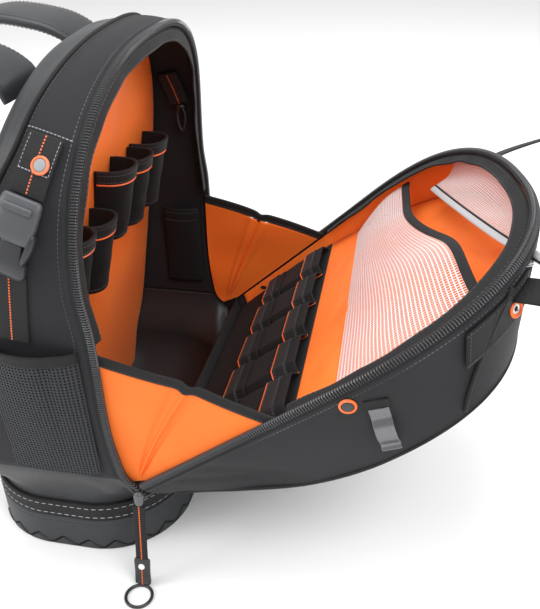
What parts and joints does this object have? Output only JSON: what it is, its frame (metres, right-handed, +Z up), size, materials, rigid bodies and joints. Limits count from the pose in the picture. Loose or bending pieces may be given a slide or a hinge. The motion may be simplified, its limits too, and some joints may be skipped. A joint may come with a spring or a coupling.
{
  "type": "tool backpack",
  "caption": "Upright tool backpack standing open on a moulded rubber base, its arched front lid hanging forward on two folding side gussets, lined in orange, empty.",
  "frame": {"origin": "centre of the moulded base's underside, on the floor", "axes": "+Z up; the lid opens toward -Y and the back pads face +Y; +X is the right side seen from the front"},
  "size_m": [0.4, 0.6439, 0.4667],
  "materials": {
    "twill": "matt",
    "rear_cloth": "satin",
    "webbing": "matt",
    "orange_cloth": "matt",
    "rubber": "satin",
    "side_net": "matt",
    "pale_net": "matt",
    "zip_coil": "semi-gloss",
    "plastic": "semi-gloss",
    "steel": "satin"
  },
  "bodies": {
    "root": {"lid_zip": "zip_coil", "lid_flap": "webbing", "lid_shell": "twill", "lid_piping": "webbing", "lid_lining": "orange_cloth", "tool_loops_lower": "webbing", "tool_loops_upper": "webbing", "net_pocket_large": "pale_net", "net_binding_large": "webbing", "net_pocket_tip": "pale_net", "front_pocket": "twill", "face_webbing_lower": "webbing", "face_webbing_upper": "webbing", "tip_strap_left": "webbing", "tip_strap_right": "webbing", "tip_eyelet_left": "orange_cloth", "lid_rivet": "orange_cloth", "lid_clip": "steel", "base_tray": "rubber", "base_band": "webbing", "lower_tub": "twill", "body_shell": "twill", "body_piping": "webbing", "body_zip": "zip_coil", "body_flap": "webbing", "divider_panel": "orange_cloth", "tube_pocket_1": "webbing", "tube_pocket_2": "webbing", "tube_pocket_3": "webbing", "tube_pocket_4": "webbing", "tube_pocket_5": "webbing", "wall_pocket": "webbing", "hook_strap": "webbing", "snap_hook": "steel", "gusset_left": "orange_cloth", "gusset_binding_left": "webbing", "gusset_right": "orange_cloth", "gusset_binding_right": "webbing", "hinge_strip": "webbing", "side_net_left": "side_net", "side_net_hem_left": "webbing", "side_strap_left": "webbing", "side_buckle_left": "plastic", "side_strap_end_left": "webbing", "side_net_right": "side_net", "side_net_hem_right": "webbing", "side_strap_right": "webbing", "side_buckle_right": "plastic", "side_strap_end_right": "webbing", "side_rivet_left": "orange_cloth", "back_pad_left": "rear_cloth", "back_pad_right": "rear_cloth", "lumbar_pad": "rear_cloth", "shoulder_strap_left": "rear_cloth", "shoulder_strap_right": "rear_cloth", "zip_slider": "zip_coil", "pull_webbing": "webbing", "pull_tab": "rubber", "pull_ring": "zip_coil"}
  },
  "joints": []
}
